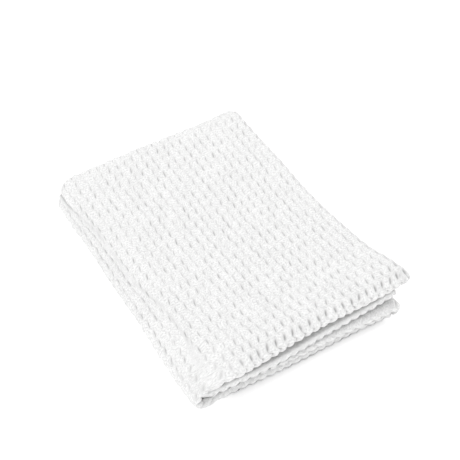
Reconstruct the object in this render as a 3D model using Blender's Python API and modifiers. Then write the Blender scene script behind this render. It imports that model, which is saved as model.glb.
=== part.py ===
"""Folded bath towel.

One rectangle of waffle-weave cotton, folded twice across its length and then
twice across its width, so that it lies as a flat packet of sixteen layers. The
cloth is one open surface given its thickness, and it turns round on itself at
every fold.

Frame: metres, +Z up, +X to the packet's right, +Y to its back. The front edge
shows the folded noses, the left side shows the last fold, which wraps the
whole packet, and the right side holds the open selvedges. The origin is the
middle of the packet's box, at the surface that it lies on.
"""

from collections import namedtuple
from math import pi

import bmesh
import bpy
import numpy as np

# ---------------------------------------------------------------- main sizes
MM = 0.001
SHEET = 1.6 * MM  # thickness of the cloth
PACK_LENGTH = 346.0 * MM  # front nose to back fold
INNER_LAG = 1.2 * MM  # how far the inner front fold lies behind the outer one
HEM_STEP_INNER = 9.0 * MM  # how far each hem stops short of the back fold
HEM_STEP_OUTER = 5.0 * MM
LEFT_CORNER = 5.0 * MM  # radii of the two back corners, seen from above
RIGHT_CORNER = 13.0 * MM
LEFT_EDGE, RIGHT_EDGE = -9.0 * MM, 252.0 * MM
RIPPLE = 0.7 * MM  # slow unevenness of the lying cloth

CLOTH_COLOUR = (0.86, 0.86, 0.855, 1.0)
CLOTH_ROUGHNESS = 0.95

# --------------------------------------------------------- the folded strips
# The cloth is first folded in four over its length. That makes one long strip
# of four layers, which is then folded in four. Each row is one run of that
# strip, named by its place above the surface. pitch is the step from one of its
# four layers to the next, and air the room below the run. front_left, front_mid
# and front_right say how far the nose of the run lies behind the front edge, at
# the run's left end, at its middle and at its right end.
Run = namedtuple("Run", "pitch air front_left front_mid front_right")
RUNS = {
    "top": Run(4.8 * MM, 4.6 * MM, -0.8 * MM, 1.4 * MM, 0.6 * MM),
    "second": Run(2.35 * MM, 2.0 * MM, 2.0 * MM, -1.1 * MM, 3.8 * MM),
    "third": Run(3.2 * MM, 1.15 * MM, 11.8 * MM, 0.5 * MM, -7.2 * MM),
    "bottom": Run(3.4 * MM, 0.0 * MM, 8.6 * MM, 2.4 * MM, -3.0 * MM),
}
WRAP_PITCH = 2.15 * MM  # layer step where the last fold is pulled tight

# ------------------------------------------------------------- cross sections
# One row for each section across the packet, at depth y behind the front edge.
# The middle line of the last fold leaves the bottom run at low_x, swells out to
# belly, passes over, draws in at the neck, where the long crease of the left
# side lies, turns at the brow and joins the top run at top_x. loop_x is the
# middle of the inner fold of the second and third runs. right_top, right_second
# and right_low are the right ends of the top run, of the second run, and the
# middle of the fold of the two lower runs. sag_left and sag_right are the shares
# of the height that the packet loses between its springy front and back folds.
Section = namedtuple(
    "Section",
    "y low_x belly_x belly_z over_x over_z neck_x neck_z brow_x brow_z top_x"
    " loop_x right_top right_second right_low sag_left sag_right",
)


def row(*lengths, sag):
    return Section(*(value * MM for value in lengths), *sag)


SECTIONS = (
    row(0, 9, -13.9, 13.0, -13.6, 33.2, -3.2, 44.9, 12.5, 47.3, 30, 1.2, 253.5, 238, 227, sag=(0.02, 0.00)),
    row(30, 9, -13.4, 13.5, -12.2, 32.4, -0.8, 44.4, 13.0, 46.8, 29, 4, 251.5, 238, 228, sag=(0.07, 0.03)),
    row(65, 10, -11.4, 14.0, -8.9, 29.5, 4.3, 41.2, 13.0, 45.6, 26, 15, 247.5, 238, 229, sag=(0.13, 0.15)),
    row(110, 12, -8.9, 13.5, -6.5, 27.0, 5.3, 37.6, 11.6, 44.1, 23, 21, 245.5, 238, 229, sag=(0.18, 0.19)),
    row(170, 13, -5.9, 13.5, -3.9, 26.0, 5.9, 36.8, 11.0, 43.9, 21, 23, 246.5, 238, 230, sag=(0.19, 0.18)),
    row(230, 14, -3.7, 13.5, -1.9, 26.0, 6.1, 36.6, 11.0, 43.9, 21, 24, 248.5, 239, 231, sag=(0.17, 0.15)),
    row(290, 15, -2.1, 13.5, -0.5, 26.0, 5.7, 36.6, 10.4, 43.9, 20, 24, 250.5, 240, 233, sag=(0.08, 0.05)),
    row(346, 16, 0.2, 13.5, 0.9, 26.0, 4.5, 36.6, 9.2, 43.9, 19, 23, 251.5, 240, 234, sag=(0.01, 0.00)),
)

# ------------------------------------------------------------ mesh resolution
# Steps along each stretch of the strip, from the second run's selvedge to the
# top run's, and along each stretch of the cloth, from one hem to the other.
RUN_SHARES = (0.05, 0.22, 0.44, 0.66, 0.85, 0.96, 1.0)  # grid lines of a run, from its left
STRIP_STEPS = {"loop": 5, "right": 5, "wrap": 11}
LAYER_SHARES = (0.05, 0.2, 0.42, 0.66, 0.83, 0.96, 1.0)  # grid lines of a layer, from its front
CLOTH_STEPS = {"inner": 4, "back": 4, "outer": 6}


def smooth(t):
    t = np.clip(t, 0.0, 1.0)
    return t * t * (3.0 - 2.0 * t)


def along(column, y):
    """A column of the sections, read smoothly at depth y."""
    ys = np.array([section.y for section in SECTIONS])
    values = np.array([getattr(section, column) for section in SECTIONS])
    y = np.clip(y, ys[0], ys[-1])
    chord = np.diff(values) / np.diff(ys)
    slope = np.concatenate([[0.0], 0.5 * (chord[1:] + chord[:-1]), [0.0]])
    i = np.clip(np.searchsorted(ys, y, side="right") - 1, 0, len(ys) - 2)
    h = ys[i + 1] - ys[i]
    t = (y - ys[i]) / h
    return (
        values[i] * (1 + 2 * t) * (1 - t) ** 2
        + values[i + 1] * t * t * (3 - 2 * t)
        + slope[i] * h * t * (1 - t) ** 2
        - slope[i + 1] * h * t * t * (1 - t)
    )


def heights():
    """Height of the middle line of each run above the surface."""
    z = SHEET / 2 + 1.5 * RUNS["bottom"].pitch
    found = {"bottom": z}
    for lower, upper in (("bottom", "third"), ("third", "second"), ("second", "top")):
        z += 1.5 * (RUNS[lower].pitch + RUNS[upper].pitch) + SHEET + RUNS[upper].air
        found[upper] = z
    return found


HEIGHT = heights()


def nose_line(run, share):
    """Set-back of a run's nose at a share of its way from left to right."""
    return (
        run.front_left * (1 - share) * (1 - 2 * share)
        + run.front_mid * 4 * share * (1 - share)
        + run.front_right * share * (2 * share - 1)
    )


def spline(knots, points, t):
    """Smooth curve through points, level where it starts and where it ends.

    knots is a rising list, points an array of (knot, sample, 2), and t one
    value for each sample. Returns the place and the direction.
    """
    count = len(knots)
    gaps = np.diff(knots)
    lead = np.abs(points[1] - points[0])[:, :1] * np.array([-1.0, 0.0]) / gaps[0]
    tail = np.abs(points[-1] - points[-2])[:, :1] * np.array([1.0, 0.0]) / gaps[-1]
    system = np.eye(count)
    right = np.empty_like(points)
    right[0], right[-1] = 1.2 * lead, 1.2 * tail
    for k in range(1, count - 1):
        a, b = gaps[k - 1], gaps[k]
        system[k, k - 1], system[k, k], system[k, k + 1] = b, 2 * (a + b), a
        right[k] = 3 * (
            b * (points[k] - points[k - 1]) / a + a * (points[k + 1] - points[k]) / b
        )
    slopes = np.einsum("kj,jsc->ksc", np.linalg.inv(system), right)
    i = np.clip(np.searchsorted(knots, t, side="right") - 1, 0, count - 2)
    rows = np.arange(len(t))
    h = gaps[i][:, None]
    s = ((t - np.asarray(knots)[i]) / gaps[i])[:, None]
    p, q = points[i, rows], points[i + 1, rows]
    m, n = slopes[i, rows] * h, slopes[i + 1, rows] * h
    place = (
        p * (1 + 2 * s) * (1 - s) ** 2
        + q * s * s * (3 - 2 * s)
        + m * s * (1 - s) ** 2
        - n * s * s * (1 - s)
    )
    heading = (q - p) * 6 * s * (1 - s) + m * (1 - s) * (1 - 3 * s) + n * s * (3 * s - 2)
    return place, heading / np.linalg.norm(heading, axis=1, keepdims=True)


WRAP_KNOTS = np.array([0.0, 0.30, 0.52, 0.72, 0.86, 1.0])


def strip_line(u, y):
    """The strip's middle line at u, in the section at depth y.

    u counts the stretches: 0-1 second run, 1-2 inner loop, 2-3 third run, 3-4
    right fold, 4-5 bottom run, 5-6 wrapping fold, 6-7 top run. Returns the
    place (x, z), the way to the strip's outer face (nx, nz), the layer step and
    the set-back of the front nose.
    """
    x, z = np.zeros_like(u), np.zeros_like(u)
    nx, nz = np.zeros_like(u), np.zeros_like(u)
    pitch, front = np.zeros_like(u), np.zeros_like(u)

    def run(name, first, start, end, facing, leftwards):
        here = (u >= first) & (u <= first + 1)
        f = u[here] - first
        a, b = start(y[here]), end(y[here])
        x[here] = a + (b - a) * f
        z[here] = HEIGHT[name]
        nx[here], nz[here] = 0.0, facing
        pitch[here] = RUNS[name].pitch
        front[here] = nose_line(RUNS[name], 1 - f if leftwards else f)

    def turn(first, centre, upper, lower, side, turned, set_back):
        """A half circle between two runs: side -1 is at the left, 1 at the right."""
        here = (u > first) & (u < first + 1)
        f = u[here] - first
        angle = pi * f
        radius = (HEIGHT[upper] - HEIGHT[lower]) / 2
        x[here] = centre(y[here]) + side * radius * np.sin(angle)
        z[here] = (HEIGHT[upper] + HEIGHT[lower]) / 2 + radius * np.cos(angle)
        nx[here] = turned * side * np.sin(angle)
        nz[here] = turned * np.cos(angle)
        pitch[here] = RUNS[upper].pitch + smooth(f) * (
            RUNS[lower].pitch - RUNS[upper].pitch
        )
        a, b = getattr(RUNS[upper], set_back), getattr(RUNS[lower], set_back)
        front[here] = a + smooth(f) * (b - a)

    def column(name):
        return lambda depth: along(name, depth)

    run("second", 0, column("right_second"), column("loop_x"), -1.0, True)
    turn(1, column("loop_x"), "second", "third", -1.0, -1.0, "front_left")
    run("third", 2, column("loop_x"), column("right_low"), 1.0, False)
    turn(3, column("right_low"), "third", "bottom", 1.0, 1.0, "front_right")
    run("bottom", 4, column("right_low"), column("low_x"), -1.0, True)
    run("top", 6, column("top_x"), column("right_top"), 1.0, False)

    here = (u > 5) & (u < 6)
    f, depth = u[here] - 5, y[here]
    level = np.ones_like(f)
    knots = (
        (along("low_x", depth), HEIGHT["bottom"] * level),
        (along("belly_x", depth), along("belly_z", depth)),
        (along("over_x", depth), along("over_z", depth)),
        (along("neck_x", depth), along("neck_z", depth)),
        (along("brow_x", depth), along("brow_z", depth)),
        (along("top_x", depth), HEIGHT["top"] * level),
    )
    points = np.array([np.stack(knot, axis=1) for knot in knots])
    place, heading = spline(WRAP_KNOTS, points, f)
    x[here], z[here] = place[:, 0], place[:, 1]
    nx[here], nz[here] = -heading[:, 1], heading[:, 0]
    tight = RUNS["bottom"].pitch + smooth(f / 0.3) * (WRAP_PITCH - RUNS["bottom"].pitch)
    pitch[here] = tight + smooth((f - 0.6) / 0.4) * (RUNS["top"].pitch - tight)
    front[here] = RUNS["bottom"].front_left + smooth((f - 0.28) / 0.5) * (
        RUNS["top"].front_left - RUNS["bottom"].front_left
    )
    return x, z, nx, nz, pitch, front


def corner(x):
    """How far the back fold lies in front of its line, at x, to round the corners."""
    left = np.clip(LEFT_EDGE + LEFT_CORNER - x, 0.0, LEFT_CORNER)
    right = np.clip(x - RIGHT_EDGE + RIGHT_CORNER, 0.0, RIGHT_CORNER)
    return (
        LEFT_CORNER
        - np.sqrt(LEFT_CORNER**2 - left**2)
        + RIGHT_CORNER
        - np.sqrt(RIGHT_CORNER**2 - right**2)
    )


def layer_line(v, x, pitch, front):
    """Place in the strip of the cloth at v: depth y, and steps from its middle.

    v counts the stretches: 0-1 third layer from its hem, 1-2 inner front fold,
    2-3 second layer, 3-4 back fold, 4-5 outer layer, 5-6 outer front fold, 6-7
    inmost layer to its hem.
    """
    nose = front + 1.5 * pitch + SHEET / 2
    inner = nose + INNER_LAG
    end = PACK_LENGTH - corner(x)
    back = end - 0.5 * pitch - SHEET / 2
    f = v - np.floor(np.minimum(v, 6.999999))
    angle = pi * f
    half = 0.5 * pitch
    stretches = (
        (end - HEM_STEP_INNER + (inner - end + HEM_STEP_INNER) * f, -0.5),
        (inner - half * np.sin(angle), -0.5 * np.cos(angle)),
        (inner + (back - inner) * f, 0.5),
        (back + half * np.sin(angle), 1.0 - 0.5 * np.cos(angle)),
        (back + (nose - back) * f, 1.5),
        (nose - 3 * half * np.sin(angle), 1.5 * np.cos(angle)),
        (nose + (end - HEM_STEP_OUTER - nose) * f, -1.5),
    )
    y, steps = np.zeros_like(v), np.zeros_like(v)
    which = np.minimum(np.floor(v), 6).astype(int)
    for k, (depth, offset) in enumerate(stretches):
        here = which == k
        y[here] = depth[here]
        steps[here] = (offset + np.zeros_like(v))[here]
    return y, steps


def settle(x, y, z):
    """How the folded packet lies: sagged between its folds, and uneven."""
    share = np.clip(x / (250 * MM), 0.0, 1.0)
    sag = along("sag_left", y) * (1 - share) + along("sag_right", y) * share
    z = SHEET / 2 + (z - SHEET / 2) * (1 - sag)
    lift = np.clip((z - SHEET / 2) / (30 * MM), 0.0, 1.0)
    z = z + RIPPLE * lift * np.sin(x * 31.0 + y * 17.0 + 0.6) * np.sin(y * 29.0 - x * 11.0)
    x = x + RIPPLE * np.sin(y * 47.0 + 1.1 + z * 40.0)
    y = y + RIPPLE * np.sin(x * 39.0 + 0.4 + z * 55.0)
    return x, y, z


def cloth_surface(u, v):
    """The middle surface of the folded cloth at (u, v)."""
    shape = u.shape
    u, v = u.ravel(), v.ravel()
    y = np.full_like(u, PACK_LENGTH / 2)
    for _ in range(4):
        x, _, _, _, pitch, front = strip_line(u, y)
        y, steps = layer_line(v, x, pitch, front)
    x, z, nx, nz, pitch, front = strip_line(u, y)
    x, z = x + steps * pitch * nx, z + steps * pitch * nz
    return tuple(part.reshape(shape) for part in settle(x, y, z))


def even(steps):
    return [(j + 1) / steps for j in range(steps)]


def stations(parts):
    """Grid lines along stretches, each with the shares of it where its lines lie."""
    found = [0.0]
    for k, shares in enumerate(parts):
        found += [k + share for share in shares]
    return np.array(found)


def backwards(shares):
    return [1 - share for share in reversed(shares[:-1])] + [1.0]


def strip_stations():
    rightwards, leftwards = list(RUN_SHARES), backwards(RUN_SHARES)
    loop, right, wrap = (even(STRIP_STEPS[name]) for name in ("loop", "right", "wrap"))
    return stations([leftwards, loop, rightwards, right, leftwards, wrap, rightwards])


def cloth_stations():
    to_back, to_front = list(LAYER_SHARES), backwards(LAYER_SHARES)
    inner, back, outer = (even(CLOTH_STEPS[name]) for name in ("inner", "back", "outer"))
    return stations([to_front, inner, to_back, back, to_front, outer, to_back])


def build_towel(collection):
    us, vs = strip_stations(), cloth_stations()
    grid_u, grid_v = np.meshgrid(us, vs)
    x, y, z = cloth_surface(grid_u, grid_v)
    reach = SHEET / 2
    x = x - (x.max() + x.min()) / 2
    y = y - (y.max() + y.min()) / 2

    shape = bmesh.new()
    bmesh.ops.create_grid(
        shape, x_segments=len(us) - 1, y_segments=len(vs) - 1, size=1.0
    )
    shape.verts.ensure_lookup_table()
    columns = len(us)
    for index, vert in enumerate(shape.verts):
        j, i = divmod(index, columns)
        vert.co = (x[j, i], y[j, i], z[j, i])
    # Layers that lie on each other are split along the same diagonals.
    bmesh.ops.triangulate(shape, faces=shape.faces[:], quad_method="SHORT_EDGE")
    mesh = bpy.data.meshes.new("towel")
    shape.to_mesh(mesh)
    shape.free()
    towel = bpy.data.objects.new("towel", mesh)
    collection.objects.link(towel)

    thick = towel.modifiers.new("thickness", "SOLIDIFY")
    thick.thickness = 2 * reach
    thick.offset = 0.0
    thick.use_even_offset = False
    thick.use_quality_normals = True
    thick.use_rim = True

    cloth = bpy.data.materials.new("cloth")
    cloth.use_nodes = True
    shader = cloth.node_tree.nodes["Principled BSDF"]
    shader.inputs["Base Color"].default_value = CLOTH_COLOUR
    shader.inputs["Roughness"].default_value = CLOTH_ROUGHNESS
    shader.inputs["Metallic"].default_value = 0.0
    mesh.materials.append(cloth)
    mesh.shade_smooth()
    return towel


def main():
    for thing in list(bpy.data.objects):
        bpy.data.objects.remove(thing, do_unlink=True)
    collection = bpy.data.collections.new("folded_bath_towel")
    bpy.context.scene.collection.children.link(collection)
    build_towel(collection)


main()
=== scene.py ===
"""Looks of the folded bath towel: its waffle weave, folds and creases, and the floor, light and camera."""

from collections import namedtuple
from math import pi, radians

import bpy
import numpy as np
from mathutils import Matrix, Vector


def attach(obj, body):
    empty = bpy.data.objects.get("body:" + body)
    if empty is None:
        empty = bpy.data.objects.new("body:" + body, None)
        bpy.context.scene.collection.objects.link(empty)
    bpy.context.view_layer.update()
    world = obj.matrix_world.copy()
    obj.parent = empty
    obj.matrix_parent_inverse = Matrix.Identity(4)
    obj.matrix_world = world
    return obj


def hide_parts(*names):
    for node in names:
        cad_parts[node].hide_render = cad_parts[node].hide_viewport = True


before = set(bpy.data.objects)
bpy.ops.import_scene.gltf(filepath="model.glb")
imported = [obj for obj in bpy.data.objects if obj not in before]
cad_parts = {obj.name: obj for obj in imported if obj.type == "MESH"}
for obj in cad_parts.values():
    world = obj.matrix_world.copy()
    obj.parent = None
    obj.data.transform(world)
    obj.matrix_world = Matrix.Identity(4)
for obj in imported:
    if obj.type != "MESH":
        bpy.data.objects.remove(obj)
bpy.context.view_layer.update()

# ---------------------------------------------------------------- main sizes
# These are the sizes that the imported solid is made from, so that the cloth
# drawn here lies in the same folds.
MM = 0.001
SHEET = 1.6 * MM  # thickness of the solid's cloth
PACK_LENGTH = 346.0 * MM
INNER_LAG = 1.2 * MM
HEM_STEP_INNER = 9.0 * MM
HEM_STEP_OUTER = 5.0 * MM
LEFT_CORNER = 5.0 * MM
RIGHT_CORNER = 13.0 * MM
LEFT_EDGE, RIGHT_EDGE = -9.0 * MM, 252.0 * MM
RIPPLE = 0.7 * MM
CENTRE = (117.830 * MM, 169.484 * MM)  # the origin of the row frame, from the front left corner

Run = namedtuple("Run", "pitch air front_left front_mid front_right")
RUNS = {
    "top": Run(4.8 * MM, 4.6 * MM, -0.8 * MM, 1.4 * MM, 0.6 * MM),
    "second": Run(2.35 * MM, 2.0 * MM, 2.0 * MM, -1.1 * MM, 3.8 * MM),
    "third": Run(3.2 * MM, 1.15 * MM, 11.8 * MM, 0.5 * MM, -7.2 * MM),
    "bottom": Run(3.4 * MM, 0.0 * MM, 8.6 * MM, 2.4 * MM, -3.0 * MM),
}
WRAP_PITCH = 2.15 * MM

Section = namedtuple(
    "Section",
    "y low_x belly_x belly_z over_x over_z neck_x neck_z brow_x brow_z top_x"
    " loop_x right_top right_second right_low sag_left sag_right",
)


def row(*lengths, sag):
    return Section(*(value * MM for value in lengths), *sag)


SECTIONS = (
    row(0, 9, -13.9, 13.0, -13.6, 33.2, -3.2, 44.9, 12.5, 47.3, 30, 1.2, 253.5, 238, 227, sag=(0.02, 0.00)),
    row(30, 9, -13.4, 13.5, -12.2, 32.4, -0.8, 44.4, 13.0, 46.8, 29, 4, 251.5, 238, 228, sag=(0.07, 0.03)),
    row(65, 10, -11.4, 14.0, -8.9, 29.5, 4.3, 41.2, 13.0, 45.6, 26, 15, 247.5, 238, 229, sag=(0.13, 0.15)),
    row(110, 12, -8.9, 13.5, -6.5, 27.0, 5.3, 37.6, 11.6, 44.1, 23, 21, 245.5, 238, 229, sag=(0.18, 0.19)),
    row(170, 13, -5.9, 13.5, -3.9, 26.0, 5.9, 36.8, 11.0, 43.9, 21, 23, 246.5, 238, 230, sag=(0.19, 0.18)),
    row(230, 14, -3.7, 13.5, -1.9, 26.0, 6.1, 36.6, 11.0, 43.9, 21, 24, 248.5, 239, 231, sag=(0.17, 0.15)),
    row(290, 15, -2.1, 13.5, -0.5, 26.0, 5.7, 36.6, 10.4, 43.9, 20, 24, 250.5, 240, 233, sag=(0.08, 0.05)),
    row(346, 16, 0.2, 13.5, 0.9, 26.0, 4.5, 36.6, 9.2, 43.9, 19, 23, 251.5, 240, 234, sag=(0.01, 0.00)),
)


# ------------------------------------------------------- the folds of the solid
def smooth(t):
    t = np.clip(t, 0.0, 1.0)
    return t * t * (3.0 - 2.0 * t)


def along(column, y):
    """A column of the sections, read smoothly at depth y."""
    ys = np.array([section.y for section in SECTIONS])
    values = np.array([getattr(section, column) for section in SECTIONS])
    y = np.clip(y, ys[0], ys[-1])
    chord = np.diff(values) / np.diff(ys)
    slope = np.concatenate([[0.0], 0.5 * (chord[1:] + chord[:-1]), [0.0]])
    i = np.clip(np.searchsorted(ys, y, side="right") - 1, 0, len(ys) - 2)
    h = ys[i + 1] - ys[i]
    t = (y - ys[i]) / h
    return (
        values[i] * (1 + 2 * t) * (1 - t) ** 2
        + values[i + 1] * t * t * (3 - 2 * t)
        + slope[i] * h * t * (1 - t) ** 2
        - slope[i + 1] * h * t * t * (1 - t)
    )


def heights():
    z = SHEET / 2 + 1.5 * RUNS["bottom"].pitch
    found = {"bottom": z}
    for lower, upper in (("bottom", "third"), ("third", "second"), ("second", "top")):
        z += 1.5 * (RUNS[lower].pitch + RUNS[upper].pitch) + SHEET + RUNS[upper].air
        found[upper] = z
    return found


HEIGHT = heights()


def nose_line(run, share):
    """Set-back of a run's nose at a share of its way from left to right."""
    return (
        run.front_left * (1 - share) * (1 - 2 * share)
        + run.front_mid * 4 * share * (1 - share)
        + run.front_right * share * (2 * share - 1)
    )


def spline(knots, points, t):
    """Smooth curve through points, level where it starts and where it ends."""
    count = len(knots)
    gaps = np.diff(knots)
    lead = np.abs(points[1] - points[0])[:, :1] * np.array([-1.0, 0.0]) / gaps[0]
    tail = np.abs(points[-1] - points[-2])[:, :1] * np.array([1.0, 0.0]) / gaps[-1]
    system = np.eye(count)
    right = np.empty_like(points)
    right[0], right[-1] = 1.2 * lead, 1.2 * tail
    for k in range(1, count - 1):
        a, b = gaps[k - 1], gaps[k]
        system[k, k - 1], system[k, k], system[k, k + 1] = b, 2 * (a + b), a
        right[k] = 3 * (
            b * (points[k] - points[k - 1]) / a + a * (points[k + 1] - points[k]) / b
        )
    slopes = np.einsum("kj,jsc->ksc", np.linalg.inv(system), right)
    i = np.clip(np.searchsorted(knots, t, side="right") - 1, 0, count - 2)
    rows = np.arange(len(t))
    h = gaps[i][:, None]
    s = ((t - np.asarray(knots)[i]) / gaps[i])[:, None]
    p, q = points[i, rows], points[i + 1, rows]
    m, n = slopes[i, rows] * h, slopes[i + 1, rows] * h
    place = (
        p * (1 + 2 * s) * (1 - s) ** 2
        + q * s * s * (3 - 2 * s)
        + m * s * (1 - s) ** 2
        - n * s * s * (1 - s)
    )
    heading = (q - p) * 6 * s * (1 - s) + m * (1 - s) * (1 - 3 * s) + n * s * (3 * s - 2)
    return place, heading / np.linalg.norm(heading, axis=1, keepdims=True)


WRAP_KNOTS = np.array([0.0, 0.30, 0.52, 0.72, 0.86, 1.0])


def strip_line(u, y):
    """The strip's middle line at u, in the section at depth y.

    u counts the stretches: 0-1 second run, 1-2 inner loop, 2-3 third run, 3-4
    right fold, 4-5 bottom run, 5-6 wrapping fold, 6-7 top run.
    """
    x, z = np.zeros_like(u), np.zeros_like(u)
    nx, nz = np.zeros_like(u), np.zeros_like(u)
    pitch, front = np.zeros_like(u), np.zeros_like(u)

    def run(name, first, start, end, facing, leftwards):
        here = (u >= first) & (u <= first + 1)
        f = u[here] - first
        a, b = along(start, y[here]), along(end, y[here])
        x[here] = a + (b - a) * f
        z[here] = HEIGHT[name]
        nx[here], nz[here] = 0.0, facing
        pitch[here] = RUNS[name].pitch
        front[here] = nose_line(RUNS[name], 1 - f if leftwards else f)

    def turn(first, centre, upper, lower, side, turned, set_back):
        here = (u > first) & (u < first + 1)
        f = u[here] - first
        angle = pi * f
        radius = (HEIGHT[upper] - HEIGHT[lower]) / 2
        x[here] = along(centre, y[here]) + side * radius * np.sin(angle)
        z[here] = (HEIGHT[upper] + HEIGHT[lower]) / 2 + radius * np.cos(angle)
        nx[here] = turned * side * np.sin(angle)
        nz[here] = turned * np.cos(angle)
        pitch[here] = RUNS[upper].pitch + smooth(f) * (
            RUNS[lower].pitch - RUNS[upper].pitch
        )
        a, b = getattr(RUNS[upper], set_back), getattr(RUNS[lower], set_back)
        front[here] = a + smooth(f) * (b - a)

    run("second", 0, "right_second", "loop_x", -1.0, True)
    turn(1, "loop_x", "second", "third", -1.0, -1.0, "front_left")
    run("third", 2, "loop_x", "right_low", 1.0, False)
    turn(3, "right_low", "third", "bottom", 1.0, 1.0, "front_right")
    run("bottom", 4, "right_low", "low_x", -1.0, True)
    run("top", 6, "top_x", "right_top", 1.0, False)

    here = (u > 5) & (u < 6)
    f, depth = u[here] - 5, y[here]
    level = np.ones_like(f)
    knots = (
        (along("low_x", depth), HEIGHT["bottom"] * level),
        (along("belly_x", depth), along("belly_z", depth)),
        (along("over_x", depth), along("over_z", depth)),
        (along("neck_x", depth), along("neck_z", depth)),
        (along("brow_x", depth), along("brow_z", depth)),
        (along("top_x", depth), HEIGHT["top"] * level),
    )
    points = np.array([np.stack(knot, axis=1) for knot in knots])
    place, heading = spline(WRAP_KNOTS, points, f)
    x[here], z[here] = place[:, 0], place[:, 1]
    nx[here], nz[here] = -heading[:, 1], heading[:, 0]
    tight = RUNS["bottom"].pitch + smooth(f / 0.3) * (WRAP_PITCH - RUNS["bottom"].pitch)
    pitch[here] = tight + smooth((f - 0.6) / 0.4) * (RUNS["top"].pitch - tight)
    front[here] = RUNS["bottom"].front_left + smooth((f - 0.28) / 0.5) * (
        RUNS["top"].front_left - RUNS["bottom"].front_left
    )
    return x, z, nx, nz, pitch, front


def corner(x):
    left = np.clip(LEFT_EDGE + LEFT_CORNER - x, 0.0, LEFT_CORNER)
    right = np.clip(x - RIGHT_EDGE + RIGHT_CORNER, 0.0, RIGHT_CORNER)
    return (
        LEFT_CORNER
        - np.sqrt(LEFT_CORNER**2 - left**2)
        + RIGHT_CORNER
        - np.sqrt(RIGHT_CORNER**2 - right**2)
    )


def layer_line(v, x, pitch, front):
    """Place in the strip of the cloth at v: depth y, and steps from its middle.

    v counts the stretches: 0-1 third layer from its hem, 1-2 inner front fold,
    2-3 second layer, 3-4 back fold, 4-5 outer layer, 5-6 outer front fold, 6-7
    inmost layer to its hem.
    """
    nose = front + 1.5 * pitch + SHEET / 2
    inner = nose + INNER_LAG
    end = PACK_LENGTH - corner(x)
    back = end - 0.5 * pitch - SHEET / 2
    f = v - np.floor(np.minimum(v, 6.999999))
    angle = pi * f
    half = 0.5 * pitch
    stretches = (
        (end - HEM_STEP_INNER + (inner - end + HEM_STEP_INNER) * f, -0.5),
        (inner - half * np.sin(angle), -0.5 * np.cos(angle)),
        (inner + (back - inner) * f, 0.5),
        (back + half * np.sin(angle), 1.0 - 0.5 * np.cos(angle)),
        (back + (nose - back) * f, 1.5),
        (nose - 3 * half * np.sin(angle), 1.5 * np.cos(angle)),
        (nose + (end - HEM_STEP_OUTER - nose) * f, -1.5),
    )
    y, steps = np.zeros_like(v), np.zeros_like(v)
    which = np.minimum(np.floor(v), 6).astype(int)
    for k, (depth, offset) in enumerate(stretches):
        here = which == k
        y[here] = depth[here]
        steps[here] = (offset + np.zeros_like(v))[here]
    return y, steps


def settle(x, y, z):
    """How the folded packet lies: sagged between its folds, and uneven."""
    share = np.clip(x / (250 * MM), 0.0, 1.0)
    sag = along("sag_left", y) * (1 - share) + along("sag_right", y) * share
    z = SHEET / 2 + (z - SHEET / 2) * (1 - sag)
    lift = np.clip((z - SHEET / 2) / (30 * MM), 0.0, 1.0)
    z = z + RIPPLE * lift * np.sin(x * 31.0 + y * 17.0 + 0.6) * np.sin(y * 29.0 - x * 11.0)
    x = x + RIPPLE * np.sin(y * 47.0 + 1.1 + z * 40.0)
    y = y + RIPPLE * np.sin(x * 39.0 + 0.4 + z * 55.0)
    return x, y, z


def cloth_surface(u, v):
    """The middle surface of the folded cloth at (u, v), in the row frame, with the layer step."""
    u, v = np.asarray(u, float), np.asarray(v, float)
    y = np.full_like(u, PACK_LENGTH / 2)
    for _ in range(4):
        x, _, _, _, pitch, front = strip_line(u, y)
        y, steps = layer_line(v, x, pitch, front)
    x, z, nx, nz, pitch, front = strip_line(u, y)
    x, y, z = settle(x + steps * pitch * nx, y, z + steps * pitch * nz)
    return np.stack([x - CENTRE[0], y - CENTRE[1], z], axis=-1), pitch


# ------------------------------------------------------------ the flat cloth
# p counts the weave's columns from the second run's selvedge, and q its rows
# from the hem of the third layer. Both are measured along the cloth as folded.
COLUMNS, ROWS = 90, 97
SELVEDGE = 3.0 * MM  # plain rim beside the outermost column of pits
HEM = 6.0 * MM  # plain strip at the hems
PIT_ON_NOSE = 5.66  # v of the row of pits that lies under the edge of the front noses


def travel(points):
    steps = np.linalg.norm(np.diff(points, axis=0), axis=1)
    return np.concatenate([[0.0], np.cumsum(steps)])


FINE = np.linspace(0.0, 7.0, 7001)
ACROSS = travel(cloth_surface(FINE, np.full_like(FINE, 4.5))[0])
LENGTHWAYS = travel(cloth_surface(np.full_like(FINE, 6.5), FINE)[0])
FLAT = (float(ACROSS[-1]), float(LENGTHWAYS[-1]))
CELL = ((FLAT[0] - 2 * SELVEDGE) / COLUMNS, (FLAT[1] - 2 * HEM) / ROWS)
NOSE_COUNT = (float(np.interp(PIT_ON_NOSE, FINE, LENGTHWAYS)) - HEM) / CELL[1]
FIRST_HEM = HEM + (NOSE_COUNT - round(NOSE_COUNT)) * CELL[1]
LAST_HEM = 2 * HEM - FIRST_HEM
FRONT_COUNT = (float(np.interp(5.3, FINE, LENGTHWAYS)) - FIRST_HEM) / CELL[1]  # row over the front nose


def place_of(p, q):
    """(u, v) of the column count p and the row count q."""
    return (
        np.interp(SELVEDGE + p * CELL[0], ACROSS, FINE),
        np.interp(FIRST_HEM + q * CELL[1], LENGTHWAYS, FINE),
    )


def count_of(u, v):
    return (
        (np.interp(u, FINE, ACROSS) - SELVEDGE) / CELL[0],
        (np.interp(v, FINE, LENGTHWAYS) - FIRST_HEM) / CELL[1],
    )


# Mesh lines in each cell, closer together beside the pit, and beside the edges.
LINES_ACROSS = (-0.5, -0.3, -0.17, -0.08, 0.0, 0.08, 0.17, 0.3)
LINES_LENGTHWAYS = (-0.5, -0.4, -0.3, -0.12, 0.12, 0.3, 0.4)
EDGE_LINES = (0.0, 0.12, 0.4, 0.85, 1.4)  # distances in from an edge, in mm


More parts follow.
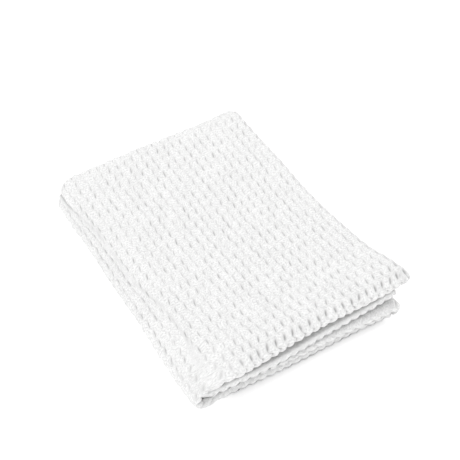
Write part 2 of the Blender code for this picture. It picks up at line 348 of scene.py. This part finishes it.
def mesh_lines(count, shares, margins, cell):
    body = np.array([k + share for k in range(count + 1) for share in shares])
    low, high = -margins[0] / cell, count + margins[1] / cell
    rim = np.array(EDGE_LINES) * MM / cell
    body = body[(body > low + rim[-1] + 0.04) & (body < high - rim[-1] - 0.04)]
    return np.concatenate([low + rim, body, high - rim[::-1]])


P_LINES = mesh_lines(COLUMNS, LINES_ACROSS, (SELVEDGE, SELVEDGE), CELL[0])
Q_LINES = mesh_lines(ROWS, LINES_LENGTHWAYS, (FIRST_HEM, LAST_HEM), CELL[1])
U_LINES, V_LINES = place_of(P_LINES, Q_LINES)

# ------------------------------------------------- how fine the mesh has to be
# Mesh steps that a block may span, for the stretches first to last of the strip
# (u) and of the cloth (v), on one side of the sheet. Later rows only refine.
Need = namedtuple("Need", "u_from u_to v_from v_to across lengthways")
ALL = (0.0, 7.0)
FOLDED_BOTH = (
    Need(*ALL, 1, 2, 16, 1),
    Need(*ALL, 3, 4, 16, 1),
    Need(*ALL, 5, 6, 16, 3),
    Need(1, 2, *ALL, 2, 16),
    Need(3, 4, *ALL, 2, 16),
    Need(5, 6, *ALL, 4, 16),
)
NEEDS = {
    "outer": FOLDED_BOTH
    + (
        Need(5.04, 7, 3, 6, 1, 1),
        Need(6, 7, 6.0, 6.06, 2, 2),
        Need(2.97, 4.03, 3, 6, 1, 2),
        Need(0, 5.04, 5.02, 5.98, 1, 1),
        Need(0, 5.04, 3.02, 3.98, 3, 2),
    ),
    "inner": FOLDED_BOTH,
}
MOST_STEPS = 14
RIM_NEED = Need(0, 0, 0, 0, 1, 2)
RIM_CELLS = 1.05


def needs(side):
    across = np.full((len(U_LINES) - 1, len(V_LINES) - 1), MOST_STEPS)
    lengthways = across.copy()
    u = 0.5 * (U_LINES[1:] + U_LINES[:-1])[:, None]
    v = 0.5 * (V_LINES[1:] + V_LINES[:-1])[None, :]
    for need in NEEDS[side]:
        here = (u > need.u_from) & (u < need.u_to) & (v > need.v_from) & (v < need.v_to)
        across[here] = np.minimum(across[here], need.across)
        lengthways[here] = np.minimum(lengthways[here], need.lengthways)
    p = 0.5 * (P_LINES[1:] + P_LINES[:-1])[:, None] + 0 * v
    q = 0.5 * (Q_LINES[1:] + Q_LINES[:-1])[None, :] + 0 * u
    rim = np.minimum(p, COLUMNS - p) < RIM_CELLS - 0.28
    across[rim], lengthways[rim] = 1, np.minimum(lengthways[rim], RIM_NEED.lengthways)
    hem = np.minimum(q, ROWS - q) < 0.3
    lengthways[hem] = 1
    across[hem] = np.minimum(across[hem], 4)
    return across, lengthways


def blocks(across, lengthways):
    """Halves the lattice until no block spans more steps than it may anywhere inside."""
    found = []
    waiting = [(0, across.shape[0], 0, across.shape[1])]
    while waiting:
        a, b, c, d = waiting.pop()
        most_u, most_v = across[a:b, c:d].min(), lengthways[a:b, c:d].min()
        over_u, over_v = (b - a) / most_u, (d - c) / most_v
        if over_u > 1 and over_u >= over_v:
            middle = (a + b) // 2
            waiting += [(middle, b, c, d), (a, middle, c, d)]
        elif over_v > 1:
            middle = (c + d) // 2
            waiting += [(a, b, middle, d), (a, b, c, middle)]
        else:
            found.append((a, b, c, d))
    return found


def outline(block, used):
    """The used lattice points round a block, in order."""
    a, b, c, d = block
    if b - a == 1 and d - c == 1:
        return [(a, c), (b, c), (b, d), (a, d)]
    return (
        [(a + k, c) for k in np.flatnonzero(used[a:b, c])]
        + [(b, c + k) for k in np.flatnonzero(used[b, c:d])]
        + [(b - k, d) for k in np.flatnonzero(used[b:a:-1, d] if a else used[b:0:-1, d])]
        + [(a, d - k) for k in np.flatnonzero(used[a, d:c:-1] if c else used[a, d:0:-1])]
    )


# -------------------------------------------------------------------- the weave
PIT = -1.0 * MM  # floor of a pit, from the solid's face
DEEPER = -1.1 * MM  # more depth where the next layer leaves room
RIB = 1.3 * MM  # top of a rib, from the solid's face
BACKING = 1.2 * MM  # how far the hidden face sinks behind the deeper pits
RIB_CURVE = 0.56  # how steeply a rib rises beside its pit
NOSE_WIDER = 0.9  # how much wider the pits open round the front nose
HOOK, HOOK_AT, HOOK_WIDE, HOOK_REACH = 0.7, -0.35, 0.07, 0.2  # the short arm at the back end of a pit, in cells
BRIDGE = 0.74  # how far the cross ribs rise between two pits
BRIDGE_FROM, BRIDGE_WIDE = 0.18, 0.2  # where a cross rib starts to rise, in cells
LEAN = 0.2  # how far the two ends of a pit lean across its column, in cells
SWELL = 1.3 * MM  # how far the second run's nose stands up under the top run's
WANDER = 0.10  # how far columns and rows stray, in cells

rng = np.random.default_rng(41)
CELL_DEPTH = rng.uniform(0.62, 1.08, (COLUMNS + 3, ROWS + 3))
CELL_BRIDGE = rng.uniform(0.55, 1.3, (COLUMNS + 3, ROWS + 3))
CELL_LEAN = rng.uniform(0.3, 1.6, (COLUMNS + 3, ROWS + 3))
CELL_SHIFT = rng.uniform(-0.07, 0.07, (COLUMNS + 3, ROWS + 3))
CELL_HOOK = np.clip(rng.uniform(-1.2, 1.1, (COLUMNS + 3, ROWS + 3)), 0, 1)
COLUMN_SLIP = rng.uniform(-0.17, 0.17, COLUMNS + 3)  # how far a column of pits slips along the cloth, in cells
CRINKLE = rng.normal(0.0, 0.18 * MM, 200003)  # small unevenness of the yarns
WAVES = [
    (rng.uniform(0.08, 0.42) * rng.choice([-1, 1]), rng.uniform(0.08, 0.42), rng.uniform(0, 2 * pi))
    for _ in range(14)
]


def cell_value(table, p, q):
    """A value of each cell, carried smoothly into the next."""
    i, j = np.clip(np.round(p), -1, COLUMNS + 1), np.clip(np.round(q), -1, ROWS + 1)
    return table[i.astype(int) + 1, j.astype(int) + 1]


def cell_blend(table, p, q):
    i, j = np.floor(p), np.floor(q)
    s, t = smooth(p - i), smooth(q - j)
    at = lambda a, b: cell_value(table, a, b)
    return (
        (1 - s) * (1 - t) * at(i, j)
        + s * (1 - t) * at(i + 1, j)
        + (1 - s) * t * at(i, j + 1)
        + s * t * at(i + 1, j + 1)
    )


def waves(p, q, first, count):
    """Slow unevenness between -1 and 1."""
    total = np.zeros_like(p)
    for a, b, phase in WAVES[first : first + count]:
        total += np.sin(a * p + b * q + phase)
    return total / count


def stray(p, q):
    """Where the cloth of the cell at (p, q) really lies: its columns and rows wander."""
    b = q - np.round(q)
    end = np.clip((np.abs(b) - 0.36) / 0.14, 0, 1)
    lean = np.sign(b) * np.minimum(np.abs(b) / 0.36, 1.0) * (1 - smooth(end))
    forward = 0.5 + 0.45 * np.exp(-(((q - FRONT_COUNT) / 2.6) ** 2))  # more towards the front nose
    lean = -LEAN * lean * cell_blend(CELL_LEAN, p, q) * forward
    shift = cell_blend(CELL_SHIFT, p, q)
    fade = smooth((np.minimum(p, COLUMNS - p) + 0.28) / 0.8) * smooth(
        (np.minimum(q, ROWS - q) + 0.4) / 0.8
    )
    at_nose = np.exp(-(((q - FRONT_COUNT) / 1.5) ** 2))
    i = np.clip(np.floor(p), -1, COLUMNS).astype(int)
    slip = COLUMN_SLIP[i + 1] + smooth(p - i) * (COLUMN_SLIP[i + 2] - COLUMN_SLIP[i + 1])
    return (
        p + fade * (lean + shift + WANDER * waves(p, q, 0, 3)),
        q + fade * (0.8 * shift + slip * (1 - 0.75 * at_nose) + WANDER * waves(p, q, 3, 3)),
    )


def waffle(p, q, through=0.0):
    """Height of the weave, 0 in the pits and 1 on the ribs. Through takes the cross ribs away."""
    a, b = p - np.round(p), q - np.round(q)
    at_nose = np.exp(-(((q - FRONT_COUNT) / 1.5) ** 2))
    rib = np.clip(1 - (1 - 2 * np.abs(a)) ** 2, 0, 1) ** (RIB_CURVE * (1 + NOSE_WIDER * at_nose))
    lengthways = smooth((np.abs(b) - BRIDGE_FROM) / BRIDGE_WIDE)
    bridge = np.clip(BRIDGE * cell_blend(CELL_BRIDGE, p, q + 0.5), 0, 1) * lengthways
    low = (1 - rib) * (1 - bridge * (1 - through))
    arm = HOOK * cell_value(CELL_HOOK, p, q) * np.exp(-(((b - HOOK_AT) / HOOK_WIDE) ** 2))
    arm = arm * (a >= 0) * smooth(1.0 - (a - 0.4 * HOOK_REACH) / (0.9 * HOOK_REACH))
    low = np.maximum(low, arm)
    depth = cell_blend(CELL_DEPTH, p, q)
    depth = depth + at_nose * (1.05 - depth)  # even along the nose
    return 1 - low * depth - 0.10 * rib * (1 - lengthways)


# How strongly the weave shows on the outer face, by stretch of the strip and of
# the cloth. The hidden layers lie pressed flat.
def strength(u, v, p):
    s, t = np.minimum(np.floor(u), 6).astype(int), np.minimum(np.floor(v), 6).astype(int)
    g = v - t
    shown = np.zeros_like(u)
    outer_layer = (t >= 3) & (t <= 5)
    top = outer_layer & (s >= 5)
    shown[top] = 1.0
    # the strip's top layer comes off the floor and up its wrapping fold
    shown[outer_layer & (s == 5)] *= smooth((u[outer_layer & (s == 5)] - 5.02) / 0.06)
    shown[outer_layer & (s == 3)] = 1.0
    # the weave is pulled smooth over the long crease and at the front left corner
    side = top & (u < 6.3)
    shown[side] *= 1 - 0.12 * np.exp(-(((u[side] - 5.82) / 0.16) ** 2))
    shown[side] *= 1 - 0.3 * smooth((v[side] - 4.9) / 0.08) * smooth((6.0 - u[side]) / 0.1)
    nose = (t == 5) & (s < 5) & (s != 3)
    shown[nose] = 0.5 * np.sin(pi * g[nose]) ** 0.6
    wall = top & (s == 5)
    shown[wall] *= 1 + 0.35 * smooth((5.9 - u[wall]) / 0.1)
    back = (t == 3) & (s < 5) & (s != 3)
    shown[back] = 0.75 * np.sin(pi * g[back]) ** 0.6
    under = (t == 6) & (s == 6)
    shown[under] = 0.6 * (1 - smooth((g[under] - 0.03) / 0.03))
    return shown


def deeper(u, v, ramp):
    """1 on the top run's outer layer and nose, where the pits can be deeper."""
    layer = smooth((v - 4) / ramp) * (v <= 5.9)
    return layer * smooth((u - 6) / ramp)


# ------------------------------------------------------------- creases listed one by one
# Each row is a point of a crease on the outer layer: u across the strip, y the
# distance behind the front edge in mm, and how sharp the crease is there.
Pinch = namedtuple("Pinch", "u y sharp")
LONG_CREASE = (
    Pinch(5.655, 346, 1.5),
    Pinch(5.640, 333, 1.3),
    Pinch(5.645, 322, 0.95),
    Pinch(5.700, 306, 0.5),
    Pinch(5.740, 293, 0.4),
    Pinch(5.800, 270, 0.7),
    Pinch(5.820, 254, 0.6),
    Pinch(5.805, 230, 0.3),
    Pinch(5.830, 212, 0.4),
    Pinch(5.810, 192, 0.25),
    Pinch(5.820, 163, 0.3),
    Pinch(5.865, 138, 0.25),
    Pinch(5.890, 116, 0.35),
    Pinch(5.860, 82, 0.3),
    Pinch(5.785, 49, 0.3),
    Pinch(5.770, 30, 0.35),
    Pinch(5.775, 17, 0.2),
)
TIP_CREASE = (Pinch(6.925, 12, 0.2), Pinch(6.955, 5, 0.9), Pinch(6.962, 1, 0.6))
CREASES = (LONG_CREASE, TIP_CREASE)
CREASE_WIDE = 1.0 * MM
CREASE_DEEP = 0.75 * MM


def pinched(u, y):
    """How sharply the outer layer is creased at (u, y), 0 where it isn't."""
    found = np.zeros_like(u)
    at = np.stack([np.interp(u, FINE, ACROSS), y], axis=1)
    for crease in CREASES:
        line = np.array([(np.interp(pinch.u, FINE, ACROSS), pinch.y * MM) for pinch in crease])
        sharp = np.array([pinch.sharp for pinch in crease])
        for k in range(len(line) - 1):
            way = line[k + 1] - line[k]
            share = np.clip((at - line[k]) @ way / (way @ way), 0, 1)
            away = np.linalg.norm(at - line[k] - share[:, None] * way, axis=1)
            here = sharp[k] + share * (sharp[k + 1] - sharp[k])
            wide = CREASE_WIDE * (0.75 + 0.5 * here)
            found = np.maximum(found, here * np.exp(-((away / wide) ** 2)))
    return found


# ------------------------------------------------------------ painted shade of the cloth
PIT_PAINTED_SHADE = 0.28  # painted shade: how much darker the cloth's colour is made in the bottom of a pit
GAP_PAINTED_SHADE = 0.22  # painted shade: how much darker the colour is made where one fold closes on the next
# painted shade in the creases: how much darker the colour is made there
CREASE_PAINTED_SHADE = 0.3
OVERHANG_PAINTED_SHADE = 1.35  # times as much painted shade where the top run hangs over the second
UNDER_NOSE_PAINTED_SHADE = 0.5  # painted shade: how much darker the colour is made on the underside of a low nose


def painted_shade_of(u, v, shown, height, crease, at_nose):
    """Painted shade of the outer face: a factor on its colour, 1 in the open and less in pits, gaps and creases.
    """
    s, t = np.minimum(np.floor(u), 6).astype(int), np.minimum(np.floor(v), 6).astype(int)
    g = v - t
    # painted shade in the pits, stronger along the front nose and on the left side
    pit = np.minimum(shown, 1) * smooth((1 - height - 0.4) / 0.6)
    pit = pit * np.where((t == 5) & (s < 5), 0.3, 1.0)
    pit = pit * (1 + 0.7 * at_nose * smooth((u - 6.0) / 0.15))  # darker along the front nose
    pit = pit * np.where(s == 5, 1.45 - 0.7 * smooth((v - 4.85) / 0.08), 1.0)  # and on the left side
    tone = 1 - PIT_PAINTED_SHADE * pit
    # painted shade where one fold closes on the next, under the overhanging runs and on the undersides of the low
    # noses
    nose = t == 5
    far = smooth((g - 0.70) / 0.2)  # side of the nose that turns in under its own run
    hidden = np.where(nose & (s >= 5), far, 0.0)
    # the low noses get painted shade only where they turn under
    under = np.where((s == 2) | (s == 3), smooth((g - 0.5) / 0.18), smooth((0.5 - g) / 0.18))
    lowest = smooth((0.54 - g) / 0.2) * smooth((5 - u) / 0.12) * smooth((u - 4) / 0.06)
    under = np.where(s == 4, 1.65 * lowest, under)
    under = np.where(s == 0, under * (1 + 0.5 * smooth((u - 0.3) / 0.2)), under)
    hidden = np.where(nose & (s < 5), under * UNDER_NOSE_PAINTED_SHADE / GAP_PAINTED_SHADE, hidden)
    hidden = np.where(nose & (s == 0), np.maximum(hidden, OVERHANG_PAINTED_SHADE * smooth((g - 0.78) / 0.15)), hidden)
    hidden = np.where((t == 6) | ((t == 4) & (s < 5) & (s != 3)), 1.0, hidden)
    back = t == 3
    close = np.where(s >= 5, smooth((0.3 - g) / 0.2), np.maximum(smooth((0.3 - g) / 0.2), smooth((g - 0.7) / 0.2)))
    hidden = np.where(back, 0.8 * close, hidden)
    hidden = np.where((t == 6) & (s == 0), OVERHANG_PAINTED_SHADE, hidden)
    hidden = np.where((t == 4) & (s == 2), 1 - smooth((g - 0.93) / 0.03), hidden)
    # the undermost layer lies in the open on its surface
    hidden = np.where((s == 4) & (t == 4), 0.0, hidden)
    hidden = np.where((s == 1) | ((s == 5) & (t >= 5)), 0.35 * hidden, hidden)
    tone = tone * (1 - GAP_PAINTED_SHADE * hidden)
    # and painted shade in the creases
    return tone * (1 - CREASE_PAINTED_SHADE * np.clip(crease, 0, 1.6))


def build_cloth():
    lattice = {side: blocks(*needs(side)) for side in ("outer", "inner")}
    used = {}
    for side, found in lattice.items():
        marks = np.zeros((len(U_LINES), len(V_LINES)), bool)
        at = np.array(found)
        for i in (0, 1):
            for j in (2, 3):
                marks[at[:, i], at[:, j]] = True
        used[side] = marks
    edge = np.zeros_like(used["outer"])
    edge[[0, -1], :] = True
    edge[:, [0, -1]] = True
    shared = edge & (used["outer"] | used["inner"])
    for side in used:
        used[side] |= shared

    number = {side: np.full(used[side].shape, -1) for side in used}
    places = []
    total = 0
    for side in ("outer", "inner"):
        own = used[side] if side == "outer" else used[side] & ~edge
        number[side][own] = total + np.arange(own.sum())
        total += int(own.sum())
        i, j = np.nonzero(own)
        places.append(face_points(side, i, j))
    number["inner"][shared] = number["outer"][shared]

    vertices = np.concatenate([points for points, _ in places])
    thread = np.concatenate([threads for _, threads in places])
    faces, sides = [], []
    for side, found in lattice.items():
        ids, marks = number[side], used[side]
        for block in found:
            loop = [int(ids[point]) for point in outline(block, marks)]
            faces.append(loop if side == "outer" else loop[::-1])
            sides.append(side == "outer")
    return vertices, thread, faces, sides


EDGE_WAVE = 0.7 * MM  # how far the selvedge draws in beside each pit
TOP_WIDE = float(np.interp(7.0, FINE, ACROSS) - np.interp(6.0, FINE, ACROSS))


def face_points(side, i, j):
    """Places on one face of the sheet at the lattice points, their place in the flat cloth, and their painted
    shade.
    """
    p, q = P_LINES[i], Q_LINES[j]
    u, v = place_of(*stray(p, q))
    rim = (i == 0) | (i == len(P_LINES) - 1)
    hem = (j == 0) | (j == len(Q_LINES) - 1)
    u = np.where(rim, U_LINES[i], u)
    open_edge = (COLUMNS - p) * CELL[0] + SELVEDGE  # distance in from the selvedge on the top
    u = u - EDGE_WAVE * (0.5 + 0.5 * np.cos(2 * pi * q)) * np.exp(-((open_edge / (4 * MM)) ** 2)) / TOP_WIDE
    v = np.where(hem, V_LINES[j], v)
    u, v = np.clip(u, 0, 7), np.clip(v, 0, 7)

    middle, pitch = cloth_surface(u, v)
    step = 1.5e-3
    ends = [np.clip(u - step, 0, 7), np.clip(u + step, 0, 7), np.clip(v - step, 0, 7), np.clip(v + step, 0, 7)]
    over = cloth_surface(ends[1], v)[0] - cloth_surface(ends[0], v)[0]
    down = cloth_surface(u, ends[3])[0] - cloth_surface(u, ends[2])[0]
    normal = np.cross(over, down)
    normal /= np.linalg.norm(normal, axis=1, keepdims=True)
    normal *= OUTWARD

    s = np.minimum(np.floor(u), 6).astype(int)
    t = np.minimum(np.floor(v), 6).astype(int)
    g = v - t
    through = np.where((t == 5) & (side == "outer"), 0.8 * smooth((g - 0.3) / 0.2), 0.0)
    through = np.where((t == 5) & (s < 5), 0.9, through)
    height = waffle(p, q, through)
    shown = strength(u, v, p)
    edge = np.minimum(p, COLUMNS - p) + SELVEDGE / CELL[0]  # cells in from the selvedge
    hemward = np.minimum(q + FIRST_HEM / CELL[1], ROWS - q + LAST_HEM / CELL[1])
    room = np.clip(0.5 * (pitch - SHEET) - 0.12 * MM, 0, None)
    near = 1 - smooth((edge - 0.9) / 0.5)
    folded = (t == 1) | (t == 3) | (t == 5)
    if side == "outer":
        puff = near * np.where(folded, 0.35, 1.0) * (room * height - 0.5 * MM * (1 - height))
        floor = PIT + DEEPER * deeper(u, v, 0.1)
        offset = SHEET / 2 + shown * (floor + (RIB - floor) * height) + (1 - shown) * puff
        on_wall = (s == 5) & (t >= 3) & (t <= 5)
        offset -= np.where(on_wall, 0.5 * MM * shown * smooth((5.97 - u) / 0.1), 0.0)
        under = (s == 4) & (t == 4)
        offset = np.where(under, SHEET / 2 - 0.6 * MM * near * (1 - height), offset)
        low_nose = (t == 5) & (s < 5)
        scallop = 0.8 * MM * (0.5 - 0.5 * np.cos(2 * pi * p)) + 0.7 * MM * waves(p, q, 4, 3)
        offset += np.where(low_nose, np.sin(pi * np.clip(g, 0, 1)) * scallop, 0.0)
        # the second run's nose swells up under the top run's
        swell = np.where(t == 5, smooth((g - 0.5) / 0.35), np.where(t == 6, smooth((0.06 - g) / 0.06), 0.0))
        offset += np.where(s == 0, SWELL * swell * smooth(u / 0.06), 0.0)
        offset += np.where((t == 5) & (s >= 5), 0.8 * MM * shown * np.sin(pi * np.clip(g, 0, 1)) * (2 * height - 1), 0.0)
        offset += shown * (0.25 * MM * waves(p, q, 6, 4) + CRINKLE[(i * 7919 + j * 104729) % len(CRINKLE)])
        on_top = (s >= 5) & (t >= 3) & (t <= 5)
        crease = np.where(on_top, pinched(u, middle[:, 1] + CENTRE[1]), 0.0)
        offset += np.clip(crease, 0, 1) * np.minimum(SHEET / 2 - CREASE_DEEP - offset, 0.0)
        at_nose = np.exp(-(((q - FRONT_COUNT) / 1.1) ** 2))
        tone = painted_shade_of(u, v, shown, height, crease, at_nose)
    else:
        # the inner face gets painted shade all over, as if it lay in a gap between folds
        tone = np.full_like(u, 1 - GAP_PAINTED_SHADE)
        height = waffle(p + 0.5, q + 0.5)
        puff = near * np.where(folded, 0.3, 1.0) * (room * height - 0.5 * MM * (1 - height))
        offset = SHEET / 2 + puff
        offset = offset + BACKING * deeper(u, v, 0.03) * (1 - near)

    # The edges of the cloth are rounded off.
    inward = np.minimum(edge * CELL[0], hemward * CELL[1])
    radius = 1.35 * MM
    share = np.clip(inward / radius, 0, 1)
    offset = offset * np.sqrt(np.clip(1 - (1 - share) ** 2, 0, 1))
    sign = 1.0 if side == "outer" else -1.0
    points = middle + sign * offset[:, None] * normal
    points[:, 2] = np.maximum(points[:, 2], 0.0)
    # the third value is the painted shade, a factor the material multiplies the colour by
    flat = np.stack([SELVEDGE + p * CELL[0], FIRST_HEM + q * CELL[1], tone], axis=1)
    return points, flat


def outward():
    """1 where the cross product of the two ways along the cloth points out of its outer face."""
    u, v = np.array([6.5]), np.array([4.5])
    over = cloth_surface(u + 0.01, v)[0] - cloth_surface(u - 0.01, v)[0]
    down = cloth_surface(u, v + 0.01)[0] - cloth_surface(u, v - 0.01)[0]
    return 1.0 if np.cross(over, down)[0, 2] > 0 else -1.0


OUTWARD = outward()


def make_towel():
    vertices, thread, faces, sides = build_cloth()
    if OUTWARD < 0:
        faces = [face[::-1] for face in faces]
    mesh = bpy.data.meshes.new("towel_cloth")
    mesh.from_pydata(vertices.tolist(), [], faces)
    mesh.update()
    flat = mesh.attributes.new("flat_cloth", "FLOAT_VECTOR", "POINT")
    flat.data.foreach_set("vector", thread.astype(np.float32).ravel())
    corners = np.zeros(len(mesh.loops), np.int32)
    mesh.loops.foreach_get("vertex_index", corners)
    outer = np.repeat(np.array(sides), [len(face) for face in faces])
    x = thread[corners, 0] / FLAT[0]
    y = thread[corners, 1] / FLAT[1]
    uv = np.stack([np.where(outer, 0.005 + 0.69 * x, 0.705 + 0.29 * x), 0.005 + 0.99 * y], axis=1)
    layer = mesh.uv_layers.new(name="OFBake")
    layer.data.foreach_set("uv", uv.astype(np.float32).ravel())
    mesh.shade_smooth()
    towel = bpy.data.objects.new("towel_cloth", mesh)
    bpy.context.scene.collection.objects.link(towel)
    return towel


# ------------------------------------------------------------------- materials
def nodes_of(name):
    material = bpy.data.materials.new(name)
    material.use_nodes = True
    tree = material.node_tree
    shader = tree.nodes["Principled BSDF"]
    return material, tree, shader


def add(tree, kind, **values):
    node = tree.nodes.new(kind)
    for key, value in values.items():
        if key.startswith("in_"):
            node.inputs[key[3:].replace("_", " ")].default_value = value
        else:
            setattr(node, key, value)
    return node


def math_node(tree, operation, first, second=None, clamp=False):
    node = add(tree, "ShaderNodeMath", operation=operation, use_clamp=clamp)
    for k, value in enumerate((first, second)):
        if value is None:
            continue
        if isinstance(value, (int, float)):
            node.inputs[k].default_value = value
        else:
            tree.links.new(value, node.inputs[k])
    return node.outputs[0]


THREAD = 0.95 * MM  # from one thread to the next


def cloth_material():
    """White cotton: warp and weft as fine relief, soft sheen, slow changes of tone, and painted shade that darkens
    its colour in pits, gaps, creases and under the folds.
    """
    material, tree, shader = nodes_of("waffle_cotton")
    links = tree.links
    shader.inputs["Roughness"].default_value = 0.92
    shader.inputs["Specular IOR Level"].default_value = 0.25
    shader.inputs["Sheen Weight"].default_value = 0.25
    shader.inputs["Sheen Roughness"].default_value = 0.5
    shader.inputs["Metallic"].default_value = 0.0

    flat = add(tree, "ShaderNodeAttribute", attribute_name="flat_cloth")
    parts = add(tree, "ShaderNodeSeparateXYZ")
    links.new(flat.outputs["Vector"], parts.inputs[0])
    fuzz = add(tree, "ShaderNodeTexNoise", in_Scale=420.0, in_Detail=3.0, in_Roughness=0.6)
    links.new(flat.outputs["Vector"], fuzz.inputs["Vector"])
    push = math_node(tree, "MULTIPLY", fuzz.outputs["Fac"], 1.6)
    warp = math_node(tree, "MULTIPLY", parts.outputs["X"], 2 * pi / THREAD)
    weft = math_node(tree, "MULTIPLY", parts.outputs["Y"], 2 * pi / THREAD)
    warp = math_node(tree, "SINE", math_node(tree, "ADD", warp, push))
    weft = math_node(tree, "SINE", math_node(tree, "ADD", weft, push))
    plain = math_node(tree, "MULTIPLY", warp, weft)
    grain = math_node(tree, "ADD", math_node(tree, "MULTIPLY", plain, 0.6), fuzz.outputs["Fac"])
    bump = add(tree, "ShaderNodeBump", in_Strength=0.6, in_Distance=0.0003)
    links.new(grain, bump.inputs["Height"])
    links.new(bump.outputs["Normal"], shader.inputs["Normal"])

    yarn = add(tree, "ShaderNodeTexNoise", in_Scale=560.0, in_Detail=2.0, in_Roughness=0.5)
    links.new(flat.outputs["Vector"], yarn.inputs["Vector"])
    tone = add(tree, "ShaderNodeTexNoise", in_Scale=38.0, in_Detail=4.0, in_Roughness=0.55)
    links.new(flat.outputs["Vector"], tone.inputs["Vector"])
    mixed = math_node(tree, "ADD", math_node(tree, "MULTIPLY", tone.outputs["Fac"], 0.12), math_node(tree, "MULTIPLY", yarn.outputs["Fac"], 0.88))
    ramp = add(tree, "ShaderNodeValToRGB")
    ramp.color_ramp.elements[0].position = 0.38
    ramp.color_ramp.elements[0].color = (0.75, 0.75, 0.748, 1.0)
    ramp.color_ramp.elements[1].position = 0.6
    ramp.color_ramp.elements[1].color = (0.98, 0.98, 0.977, 1.0)
    links.new(mixed, ramp.inputs["Fac"])
    # the colour is multiplied by the painted shade carried in the third value of flat_cloth
    painted_shade_scale = add(tree, "ShaderNodeVectorMath", operation="SCALE")
    links.new(ramp.outputs["Color"], painted_shade_scale.inputs[0])
    links.new(parts.outputs["Z"], painted_shade_scale.inputs["Scale"])
    links.new(painted_shade_scale.outputs["Vector"], shader.inputs["Base Color"])
    return material


def floor_material():
    material, tree, shader = nodes_of("pale_floor")
    shader.inputs["Base Color"].default_value = (0.9, 0.9, 0.9, 1.0)
    shader.inputs["Roughness"].default_value = 0.8
    shader.inputs["Specular IOR Level"].default_value = 0.1
    shader.inputs["Emission Color"].default_value = (1.0, 1.0, 1.0, 1.0)
    shader.inputs["Emission Strength"].default_value = 0.37
    return material


# ------------------------------------------------------------- the whole scene
towel = make_towel()
towel.data.materials.append(cloth_material())
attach(towel, "root")
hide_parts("towel")
floor_mesh = bpy.data.meshes.new("floor")
floor_mesh.from_pydata([(-6, -6, 0), (6, -6, 0), (6, 6, 0), (-6, 6, 0)], [], [(0, 1, 2, 3)])
floor = bpy.data.objects.new("floor", floor_mesh)
floor.location.z = -0.0003
floor.data.materials.append(floor_material())
bpy.context.scene.collection.objects.link(floor)

world = bpy.data.worlds.new("studio")
world.use_nodes = True
world.node_tree.nodes["Background"].inputs["Color"].default_value = (1.0, 1.0, 1.0, 1.0)
world.node_tree.nodes["Background"].inputs["Strength"].default_value = 0.98
bpy.context.scene.world = world

Lamp = namedtuple("Lamp", "name place aim size watts")
LAMPS = (
    Lamp("key", (-0.9, 0.9, 1.9), (0.0, 0.0, 0.03), 1.0, 1.5),
    Lamp("above", (0.3, 0.5, 2.2), (0.0, 0.0, 0.03), 1.6, 9.0),
)
for lamp in LAMPS:
    light = bpy.data.lights.new(lamp.name, "AREA")
    light.size, light.energy = lamp.size, lamp.watts
    holder = bpy.data.objects.new(lamp.name, light)
    holder.location = lamp.place
    holder.rotation_euler = (Vector(lamp.aim) - Vector(lamp.place)).to_track_quat("-Z", "Y").to_euler()
    bpy.context.scene.collection.objects.link(holder)

CAMERA = Vector((-0.26356 - CENTRE[0], -0.42669 - CENTRE[1], 0.78026))
YAW, PITCH = radians(33.41), radians(45.71)
camera_data = bpy.data.cameras.new("camera")
camera_data.lens, camera_data.sensor_width = 70.05, 36.0
camera_data.clip_start, camera_data.clip_end = 0.01, 50.0
camera = bpy.data.objects.new("camera", camera_data)
camera.location = CAMERA
camera.rotation_euler = (pi / 2 - PITCH, 0.0, -YAW)
bpy.context.scene.collection.objects.link(camera)
bpy.context.scene.camera = camera
bpy.context.scene.view_settings.view_transform = "Standard"
